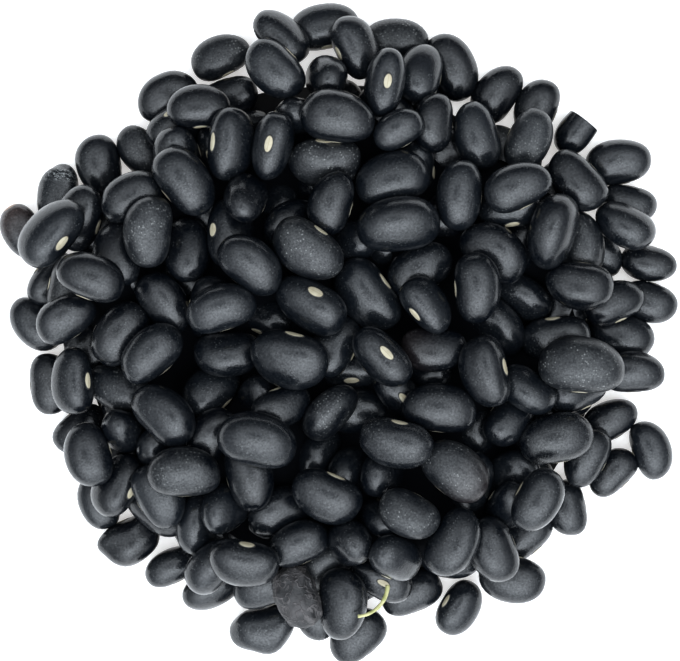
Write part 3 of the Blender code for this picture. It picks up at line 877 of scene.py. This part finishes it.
@dataclass(frozen=True)
class WrinkledFinish:
    """The coat of the shrivelled bean: dull brownish grey, with paler fine folds."""

    name: str = "shrivelled_coat"
    hollow: tuple[float, float, float] = (0.008, 0.008, 0.009)
    skin: tuple[float, float, float] = (0.040, 0.037, 0.038)
    fold: tuple[float, float, float] = (0.115, 0.105, 0.105)
    pits_patches: tuple[float, float] = (2600.0, 380.0)
    folds_per_metre: float = 620.0
    roughness: float = 0.6
    relief: tuple[float, float] = (0.8, 0.00012)

    def made(self, grain: Grain) -> bpy.types.Material:
        """Builds the material."""
        material, nodes, surface = new_material(self.name)
        fine = grain.place(nodes, self.pits_patches)
        values = {"Vector": nodes.place(), "Scale": self.folds_per_metre, "Detail": 2.0, "Distortion": 0.8}
        ridges = nodes.add("ShaderNodeTexNoise", values)
        away = nodes.math("ABSOLUTE", nodes.scaled(ridges.outputs["Fac"], 1.0, -0.5))
        folds = nodes.ramp(away, ((0.005, 1.0), (0.05, 0.0)))
        coat = nodes.mix(fine["Patches"], self.hollow, self.skin)
        coat = nodes.mix(nodes.math("MULTIPLY", folds, fine["Pits"]), coat, self.fold)
        nodes.join(coat, surface.inputs["Base Color"])
        surface.inputs["Roughness"].default_value = self.roughness
        nodes.relief(nodes.math("ADD", folds, fine["Pits"]), self.relief, surface)
        return material


@dataclass(frozen=True)
class PaintedShadeFinish:
    """Painted shade for the inside of the heap, which no light reaches: near black and barely glossy, so
    that the gaps between the beans read as deep shadow.
    """

    name: str = "heap_inside_painted_shade"
    # Painted shade: near black, with little gloss, standing in for the shadow deep between the beans.
    black: tuple[float, float, float] = (0.0010, 0.0014, 0.0022)
    roughness: float = 0.9
    gloss: float = 0.05

    def made(self) -> bpy.types.Material:
        """Builds the material."""
        material, _, surface = new_material(self.name)
        surface.inputs["Base Color"].default_value = (*self.black, 1.0)
        surface.inputs["Roughness"].default_value = self.roughness
        surface.inputs["Specular IOR Level"].default_value = self.gloss
        return material


@dataclass(frozen=True)
class EyeFinish:
    """The eye, where the bean hung in its pod: cream, with a fine line along it and a dark rim."""

    name: str = "cream_eye"
    cream: tuple[float, float, float] = (0.42, 0.38, 0.28)
    ochre: tuple[float, float, float] = (0.22, 0.17, 0.09)
    rim: tuple[float, float, float] = (0.008, 0.008, 0.009)
    pits_patches: tuple[float, float] = (5200.0, 900.0)
    roughness: float = 0.65
    relief: tuple[float, float] = (0.35, 0.00006)

    def made(self, grain: Grain) -> bpy.types.Material:
        """Builds the material."""
        material, nodes, surface = new_material(self.name)
        fine = grain.place(nodes, self.pits_patches)
        eye_place = nodes.attribute("eye_place", "Vector")
        split = nodes.add("ShaderNodeSeparateXYZ", {"Vector": eye_place}).outputs
        squares = [nodes.math("POWER", split[axis], 2.0) for axis in "XY"]
        out = nodes.math("ADD", *squares)
        across = nodes.math("ABSOLUTE", split["Y"])
        cream = nodes.mix(nodes.math("MULTIPLY", fine["Patches"], 0.35), self.cream, self.ochre)
        cream = nodes.mix(nodes.ramp(across, ((0.02, 0.45), (0.13, 0.0))), cream, self.ochre)
        colour = nodes.mix(nodes.ramp(out, ((0.60, 0.0), (0.74, 1.0))), cream, self.rim)
        nodes.join(colour, surface.inputs["Base Color"])
        surface.inputs["Roughness"].default_value = self.roughness
        nodes.relief(fine["Pits"], self.relief, surface)
        return material


@dataclass(frozen=True)
class FleshFinish:
    """The dry inside of a broken bean: dull grey-brown, in paler patches."""

    name: str = "dry_bean_flesh"
    dark: tuple[float, float, float] = (0.020, 0.018, 0.016)
    pale: tuple[float, float, float] = (0.075, 0.068, 0.060)
    pits_patches: tuple[float, float] = (2600.0, 500.0)
    roughness: float = 0.8
    relief: tuple[float, float] = (0.6, 0.0002)

    def made(self, grain: Grain) -> bpy.types.Material:
        """Builds the material."""
        material, nodes, surface = new_material(self.name)
        fine = grain.place(nodes, self.pits_patches)
        nodes.join(nodes.mix(fine["Patches"], self.dark, self.pale), surface.inputs["Base Color"])
        surface.inputs["Roughness"].default_value = self.roughness
        nodes.relief(fine["Pits"], self.relief, surface)
        return material


@dataclass(frozen=True)
class StalkFinish:
    """A dry stem: pale yellow-green, in greener patches, with fine pits."""

    name: str = "dry_stalk"
    pale: tuple[float, float, float] = (0.46, 0.44, 0.22)
    green: tuple[float, float, float] = (0.27, 0.28, 0.10)
    pits_patches: tuple[float, float] = (4200.0, 700.0)
    roughness: float = 0.6
    relief: tuple[float, float] = (0.4, 0.0001)

    def made(self, grain: Grain) -> bpy.types.Material:
        """Builds the material."""
        material, nodes, surface = new_material(self.name)
        fine = grain.place(nodes, self.pits_patches)
        nodes.join(nodes.mix(fine["Patches"], self.pale, self.green), surface.inputs["Base Color"])
        surface.inputs["Roughness"].default_value = self.roughness
        nodes.relief(fine["Pits"], self.relief, surface)
        return material


@dataclass(frozen=True)
class TableFinish:
    """The plain white table, which glows a little, so that it stays white beside the beans."""

    name: str = "white_table"
    white: tuple[float, float, float] = (0.90, 0.90, 0.90)
    glow: tuple[float, float, float] = (1.0, 0.97, 0.94)
    glow_strength: float = 0.5
    roughness: float = 0.7

    def made(self) -> bpy.types.Material:
        """Builds the material."""
        material, _, surface = new_material(self.name)
        surface.inputs["Base Color"].default_value = (*self.white, 1.0)
        surface.inputs["Roughness"].default_value = self.roughness
        surface.inputs["Emission Color"].default_value = (*self.glow, 1.0)
        surface.inputs["Emission Strength"].default_value = self.glow_strength
        return material


def new_material(name: str) -> tuple[bpy.types.Material, Nodes, bpy.types.Node]:
    """Starts a material, and gives it, its node helper and its Principled BSDF."""
    material = bpy.data.materials.new(name)
    material.use_nodes = True
    return material, Nodes(material.node_tree), material.node_tree.nodes["Principled BSDF"]


def linked(name: str, data: bpy.types.ID) -> bpy.types.Object:
    """Makes an object of a mesh, a curve or a camera, and links it in the scene."""
    made = bpy.data.objects.new(name, data)
    bpy.context.scene.collection.objects.link(made)
    return made


def unit_ball(segments: int, rings: int) -> tuple[bpy.types.Mesh, Array]:
    """A ball with its poles at the ends of x.

    Args:
        segments: Faces round it.
        rings: Faces from pole to pole.

    Returns:
        Its mesh, and its points as unit directions.
    """
    shape = bmesh.new()
    bmesh.ops.create_uvsphere(shape, u_segments=segments, v_segments=rings, radius=1.0)
    for vert in shape.verts:
        vert.co = Vector((vert.co.z, vert.co.x, vert.co.y))
    mesh = bpy.data.meshes.new("ball")
    shape.to_mesh(mesh)
    shape.free()
    return mesh, np.array([vert.co[:] for vert in mesh.vertices])


def joined_copies(name: str, ball: bpy.types.Mesh, places: list[Array]) -> bpy.types.Object:
    """Joins copies of a ball, each with its own form, into one object.

    Args:
        name: The object's name.
        ball: The ball's mesh.
        places: For each copy, where its points go, in mm.

    Returns:
        The object, smooth and linked in the scene.
    """
    shape = bmesh.new()
    for _ in places:
        shape.from_mesh(ball)
    mesh = bpy.data.meshes.new(name)
    shape.to_mesh(mesh)
    shape.free()
    mesh.vertices.foreach_set("co", (np.concatenate(places) * MM).ravel())
    mesh.shade_smooth()
    return linked(name, mesh)


def give_attribute(made: bpy.types.Object, name: str, values: Array) -> None:
    """Stores one value, or one vector, for each point of the object's mesh."""
    kind = "FLOAT_VECTOR" if values.ndim == 2 else "FLOAT"
    layer = made.data.attributes.new(name, kind, "POINT")
    layer.data.foreach_set("vector" if values.ndim == 2 else "value", values.ravel())


@dataclass
class BeanPieces:
    """The beans as pieces: one for each kind, joined from balls that are pressed to each bean's form."""

    segments: int = 28
    rings: int = 18
    brown_from: float = -0.2
    brown_rise: float = 0.85
    torn_from: float = 0.35
    torn_rise: float = 1.7
    wrinkled_segments: int = 72
    wrinkled_rings: int = 48
    fold_waves: tuple[float, ...] = (5.0, 9.0, 14.0, 21.0)
    fold_swirl: float = 2.2
    fold_depth: float = 0.032

    def coat_values(self, bean: Bean, directions: Array) -> dict[str, Array]:
        """What the coat's material reads at each point of a bean.

        Args:
            bean: The bean.
            directions: Its points as unit directions.

        Returns:
            The values by attribute name.
        """
        ones = np.ones(len(directions))
        browned = np.clip((directions[:, 0] - self.brown_from) * self.brown_rise, 0.0, 1.0)
        # Mask of the torn patch, which also carries the painted highlights along its cracks.
        opened = np.clip((directions[:, 0] - self.torn_from) * self.torn_rise, 0.0, 1.0)
        return {
            "tone": bean.coat.tone * ones,
            "dust": bean.coat.dust * ones,
            "brown": bean.coat.brown * browned,
            "torn_with_glints": bean.coat.torn_with_glints * opened,
        }

    def build(self, kind: Kind, beans: list[Bean], coat: bpy.types.Material) -> bpy.types.Object:
        """Builds all beans of one kind.

        Args:
            kind: The kind.
            beans: Its beans.
            coat: Their material.

        Returns:
            The piece.
        """
        fine = kind is Kind.WRINKLED
        segments = self.wrinkled_segments if fine else self.segments
        rings = self.wrinkled_rings if fine else self.rings
        ball, directions = unit_ball(segments, rings)
        places = [bean.placed(self.form(bean, directions)) for bean in beans]
        made = joined_copies(kind.value, ball, places)
        values = [self.coat_values(bean, directions) for bean in beans]
        for name in values[0]:
            give_attribute(made, name, np.concatenate([value[name] for value in values]))
        made.data.materials.append(coat)
        return made

    def form(self, bean: Bean, directions: Array) -> Array:
        """A bean's points in its own axes, with the folds of a wrinkled coat where it has them."""
        points = bean.skin(directions)
        if bean.kind is not Kind.WRINKLED:
            return points
        folds = np.zeros(len(directions))
        for turn, wave in enumerate(self.fold_waves):
            axis = np.array([math.cos(2.4 * turn), math.sin(2.4 * turn), math.cos(1.7 * turn + 1.0)])
            swirl = np.sin(3.0 * directions[:, [1, 2, 0]] @ axis)
            folds += np.abs(np.sin(wave * (directions @ axis) + self.fold_swirl * swirl)) / (turn + 1.5)
        return points * (1.0 + self.fold_depth * (folds - folds.mean()))[:, None]


@dataclass
class Eyes:
    """The eyes of all whole beans, joined: low cream ovals pressed on the coat, with a dark rim."""

    length: float = 2.7
    width: float = 1.25
    rise: float = 0.13
    sink: float = 0.02
    spread: float = 0.10
    segments: int = 14
    rings: int = 10
    seed: int = 5

    def build(self, beans: list[Bean], finish: bpy.types.Material) -> bpy.types.Object:
        """Builds the eyes.

        Args:
            beans: The beans that have one.
            finish: Their material.

        Returns:
            The piece.
        """
        rng = np.random.default_rng(self.seed)
        ball, directions = unit_ball(self.segments, self.rings)
        places = []
        for bean in beans:
            share = (bean.half[0] * 2.0 / bean.sizes.length) * (1.0 + self.spread * rng.normal(size=2))
            along = directions[:, 0] * 0.5 * self.length * share[0]
            across = directions[:, 2] * 0.5 * self.width * share[1]
            aim = np.stack([along / bean.half[0], -np.ones(len(along)), across / bean.half[2]], axis=1)
            points = bean.skin(aim / np.linalg.norm(aim, axis=1, keepdims=True))
            points[:, 1] += directions[:, 1] * self.rise + self.sink
            places.append(bean.placed(points))
        made = joined_copies("eyes", ball, places)
        flat = np.stack([directions[:, 0], directions[:, 2], directions[:, 1]], axis=1)
        give_attribute(made, "eye_place", np.tile(flat, (len(beans), 1)))
        made.data.materials.append(finish)
        return made


@dataclass
class Core:
    """The inside of the heap: a low closed mound, deep under the beans that show, coloured near black as
    painted shade.

    Share is how far out it goes, as a share of the outline. Its top lies at a depth below the
    middling height of the beans within reach, and no lower than lowest. Lengths are in mm.
    """

    sides: int = 44
    rings: int = 18
    share: float = 0.79
    depth: float = 5.5
    lowest: float = 0.8
    reach: float = 3.5
    slack: float = 0.001

    def build(self, heap: Heap, finish: bpy.types.Material) -> bpy.types.Object:
        """Builds the mound from a ball pressed flat below.

        Args:
            heap: The heap, before it is moved over the origin.
            finish: Its material.

        Returns:
            The piece.
        """
        ball, directions = unit_ball(self.sides, self.rings)
        cells = int(self.reach / heap.cell)
        places = []
        for up, right, deep in directions:
            out = self.share * (1.0 - abs(math.asin(max(-1.0, min(1.0, up)))) * 2.0 / math.pi)
            heading = math.atan2(deep, right)
            aim = np.array([math.cos(heading), math.sin(heading)])
            x, y = aim * out / heap.outline_share(*aim)
            column, row = heap.cells(np.array(x), np.array(y))
            near = heap.height[column - cells : column + cells + 1, row - cells : row + cells + 1]
            height = max(self.lowest, float(near.mean()) - self.depth)
            if up < -self.slack:
                height = 0.0
            elif out > (1.0 - self.slack) * self.share:
                height = 0.5 * self.lowest
            places.append((x + heap.place[0], y + heap.place[1], height))
        made = joined_copies("core", ball, [np.array(places)])
        made.data.materials.append(finish)
        return made


@dataclass
class BrokenBean:
    """The bean whose end has broken off straight, with the coat standing proud round the break."""

    segments: int = 48
    rings: int = 32
    coat_thickness: float = 0.3
    hollow: float = 0.25
    sharp_degrees: float = 50.0

    def build(self, bean: Bean, coat: bpy.types.Material, flesh: bpy.types.Material) -> bpy.types.Object:
        """Builds the bean.

        Args:
            bean: The broken bean.
            coat: The coat's material.
            flesh: The material of the break.

        Returns:
            The piece.
        """
        whole = Bean(bean.sizes, bean.half, bean.bend, bean.taper, lumps=bean.lumps)
        shape = bmesh.new()
        bmesh.ops.create_uvsphere(shape, u_segments=self.segments, v_segments=self.rings, radius=1.0)
        directions = np.array([(vert.co.z, vert.co.x, vert.co.y) for vert in shape.verts])
        for vert, point in zip(shape.verts, whole.skin(directions)):
            vert.co = Vector(point)
        break_at = (2.0 * bean.cut - 1.0) * bean.half[0]
        everything = shape.verts[:] + shape.edges[:] + shape.faces[:]
        bmesh.ops.bisect_plane(
            shape, geom=everything, plane_co=(break_at, 0.0, 0.0), plane_no=(1.0, 0.0, 0.0), clear_outer=True
        )
        rim = [edge for edge in shape.edges if len(edge.link_faces) == 1]
        filled = bmesh.ops.holes_fill(shape, edges=rim, sides=0)["faces"]
        bmesh.ops.inset_region(shape, faces=filled, thickness=self.coat_thickness, use_even_offset=True)
        for face in filled:
            face.material_index = 1
        inside = list({vert for face in filled for vert in face.verts})
        bmesh.ops.translate(shape, verts=inside, vec=(-self.hollow, 0.0, 0.0))
        bmesh.ops.recalc_face_normals(shape, faces=shape.faces)
        for face in shape.faces:
            face.smooth = face not in filled
        placed = bean.placed(np.array([vert.co[:] for vert in shape.verts]))
        for vert, point in zip(shape.verts, placed):
            vert.co = Vector(point) * MM
        mesh = bpy.data.meshes.new(Kind.BROKEN.value)
        shape.to_mesh(mesh)
        shape.free()
        mesh.set_sharp_from_angle(angle=math.radians(self.sharp_degrees))
        made = linked(Kind.BROKEN.value, mesh)
        for name, value in (("tone", bean.coat.tone), ("dust", 0.0), ("brown", 0.0), ("torn_with_glints", 0.0)):
            give_attribute(made, name, np.full(len(mesh.vertices), value))
        mesh.materials.append(coat)
        mesh.materials.append(flesh)
        return made


@dataclass
class Stalk:
    """The dry stalk: a thin stem bent to an arc, on a straight slope over the beans. Sizes in mm."""

    thickness: float = 0.6
    middle: tuple[float, float] = (2.3, -34.5)
    bend: float = 4.2
    headings: tuple[float, float] = (-2.0, -88.0)
    steps: int = 14
    gap: float = 0.6

    def heights(self, heap: Heap, headings: Array) -> Array:
        """Heights of the stem's middle: a straight slope that clears every bean under the arc."""
        reach = int(math.ceil(0.8 * self.thickness / heap.cell))
        needed = []
        for heading in headings:
            x = self.middle[0] + self.bend * math.cos(heading)
            y = self.middle[1] + self.bend * math.sin(heading)
            column, row = heap.cells(np.array(x), np.array(y))
            near = heap.height[column - reach : column + reach + 1, row - reach : row + reach + 1]
            needed.append(float(near.max()) + self.gap + 0.5 * self.thickness)
        slope, level = np.polyfit(headings, np.array(needed), 1)
        line = slope * headings + level
        return line + (np.array(needed) - line).max()

    def build(self, heap: Heap, finish: bpy.types.Material) -> bpy.types.Object:
        """Builds the stem as a round curve that thins towards its lower end.

        Args:
            heap: The heap that it lies on, before the heap is moved over the origin.
            finish: Its material.

        Returns:
            The piece.
        """
        first, last = (math.radians(heading) for heading in self.headings)
        headings = np.linspace(first, last, self.steps + 1)
        path = bpy.data.curves.new("stalk_path", "CURVE")
        path.dimensions = "3D"
        path.bevel_depth = 0.5 * self.thickness * MM
        path.bevel_resolution = 5
        path.use_fill_caps = True
        line = path.splines.new("NURBS")
        line.points.add(self.steps)
        line.use_endpoint_u = True
        line.order_u = 4
        line.resolution_u = 4
        for number, (heading, height) in enumerate(zip(headings, self.heights(heap, headings))):
            x = self.middle[0] + self.bend * math.cos(heading) + heap.place[0]
            y = self.middle[1] + self.bend * math.sin(heading) + heap.place[1]
            line.points[number].co = (x * MM, y * MM, height * MM, 1.0)
            line.points[number].radius = 1.0 + 0.10 * math.sin(1.9 * number) - 0.02 * number
        curve = linked("stalk_curve", path)
        graph = bpy.context.evaluated_depsgraph_get()
        mesh = bpy.data.meshes.new_from_object(curve.evaluated_get(graph))
        bpy.data.objects.remove(curve)
        shape = bmesh.new()
        shape.from_mesh(mesh)
        bmesh.ops.remove_doubles(shape, verts=shape.verts, dist=0.000001)
        shape.to_mesh(mesh)
        shape.free()
        mesh.shade_smooth()
        mesh.materials.clear()
        mesh.materials.append(finish)
        return linked("stem", mesh)


@dataclass
class Studio:
    """The white table, the soft light from all round above, and the camera straight overhead.

    The light is set by the way that a shiny surface must face to mirror it to the camera: how far it
    leans to the right, and how far up the picture, as the sine of the angle. Lengths are in metres.
    """

    camera_height: float = 0.42
    view_width: float = 0.0952
    sensor: float = 36.0
    table_side: float = 3.0
    brightest: float = 6.3
    across: tuple[tuple[float, float], ...] = (
        (-0.70, 0.07),
        (-0.42, 0.20),
        (-0.22, 0.58),
        (-0.06, 1.0),
        (0.10, 1.0),
        (0.27, 0.66),
        (0.44, 0.22),
        (0.65, 0.07),
    )
    up_picture: tuple[tuple[float, float], ...] = (
        (-0.95, 0.48),
        (-0.55, 0.50),
        (-0.34, 0.95),
        (-0.18, 1.0),
        (0.02, 0.82),
        (0.14, 0.62),
        (0.26, 0.30),
        (0.42, 0.09),
        (0.58, 0.01),
    )
    dark_spot: tuple[float, float] = (-0.02, 0.03)
    spot_size: float = 0.14
    spot_depth: float = 0.90
    tint: tuple[float, float, float] = (0.87, 0.935, 1.0)
    gamma: float = 0.93

    def build_table(self) -> bpy.types.Object:
        """Builds the table's top, just under the beans."""
        shape = bmesh.new()
        bmesh.ops.create_grid(shape, x_segments=1, y_segments=1, size=0.5 * self.table_side)
        mesh = bpy.data.meshes.new("table")
        shape.to_mesh(mesh)
        shape.free()
        mesh.materials.append(TableFinish().made())
        return linked("table", mesh)

    def light(self) -> None:
        """Lights the scene from all round, brightest round a darker spot that is nearly overhead."""
        bpy.context.scene.view_settings.view_transform = "Standard"
        bpy.context.scene.view_settings.gamma = self.gamma
        world = bpy.data.worlds.new("soft_studio")
        bpy.context.scene.world = world
        world.use_nodes = True
        nodes = Nodes(world.node_tree)
        place = nodes.add("ShaderNodeTexCoord").outputs["Generated"]
        split = nodes.add("ShaderNodeSeparateXYZ", {"Vector": place}).outputs
        doubled = nodes.math("MULTIPLY", nodes.math("ADD", split["Z"], 1.0), 2.0)
        reach = nodes.math("SQRT", nodes.math("MAXIMUM", doubled, 0.01))
        level, away = self.brightest, 0.0
        for axis, stops, spot in zip("XY", (self.across, self.up_picture), self.dark_spot):
            facing = nodes.math("DIVIDE", split[axis], reach)
            marks = tuple((0.5 + 0.5 * place, share) for place, share in stops)
            level = nodes.math("MULTIPLY", nodes.ramp(nodes.scaled(facing, 0.5, 0.5), marks), level)
            away = nodes.math("ADD", nodes.math("POWER", nodes.math("SUBTRACT", facing, spot), 2.0), away)
        spot = nodes.math("EXPONENT", nodes.math("MULTIPLY", away, -1.0 / self.spot_size**2))
        level = nodes.math("MULTIPLY", level, nodes.scaled(spot, -self.spot_depth, 1.0))
        background = world.node_tree.nodes["Background"]
        background.inputs["Color"].default_value = (*self.tint, 1.0)
        nodes.join(level, background.inputs["Strength"])

    def camera(self, middle: tuple[float, float]) -> bpy.types.Object:
        """Makes the camera, straight above a place in mm, with +Y at the top of the picture."""
        data = bpy.data.cameras.new("camera")
        data.sensor_width = self.sensor
        data.lens = self.sensor * self.camera_height / self.view_width
        data.clip_end = 20.0
        made = linked("camera", data)
        made.location = (middle[0] * MM, middle[1] * MM, self.camera_height)
        bpy.context.scene.camera = made
        return made


def dress_piece(made: bpy.types.Object, node: str) -> None:
    """Makes a piece ride on the heap's body, in place of a node, and reports it."""
    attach(made, "root")
    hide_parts(node)
    made.data.calc_loop_triangles()
    LOG.info("%s: %d triangles", made.name, len(made.data.loop_triangles))


def main() -> None:
    """Lays the heap, builds its pieces and sets up the studio."""
    logging.basicConfig(level=logging.INFO, format="%(message)s")
    heap = Heap()
    studio = Studio()
    studio.camera(heap.place)
    studio.light()
    studio.build_table()
    grain = Grain()
    coat = CoatFinish().made(grain)
    heap.fill()
    Coats().dress(heap)
    stem = Stalk().build(heap, StalkFinish().made(grain))
    dress_piece(stem, "stalk")
    # The core wears the near-black painted shade finish, standing in for the shadow inside the heap.
    dress_piece(Core().build(heap, PaintedShadeFinish().made()), "beans")
    heap.shift_to_origin()
    LOG.info("beans: %d", len(heap.beans))
    pieces = BeanPieces()
    coats = {Kind.SATIN: coat, Kind.DUSTY: coat, Kind.WRINKLED: WrinkledFinish().made(grain)}
    for kind, finish in coats.items():
        beans = [bean for bean in heap.beans if bean.kind is kind]
        dress_piece(pieces.build(kind, beans, finish), "beans")
    broken = next(bean for bean in heap.beans if bean.kind is Kind.BROKEN)
    dress_piece(BrokenBean().build(broken, coat, FleshFinish().made(grain)), "beans")
    whole = [bean for bean in heap.beans if bean.kind in (Kind.SATIN, Kind.DUSTY)]
    dress_piece(Eyes().build(whole, EyeFinish().made(grain)), "beans")


if __name__ == "__main__":
    main()
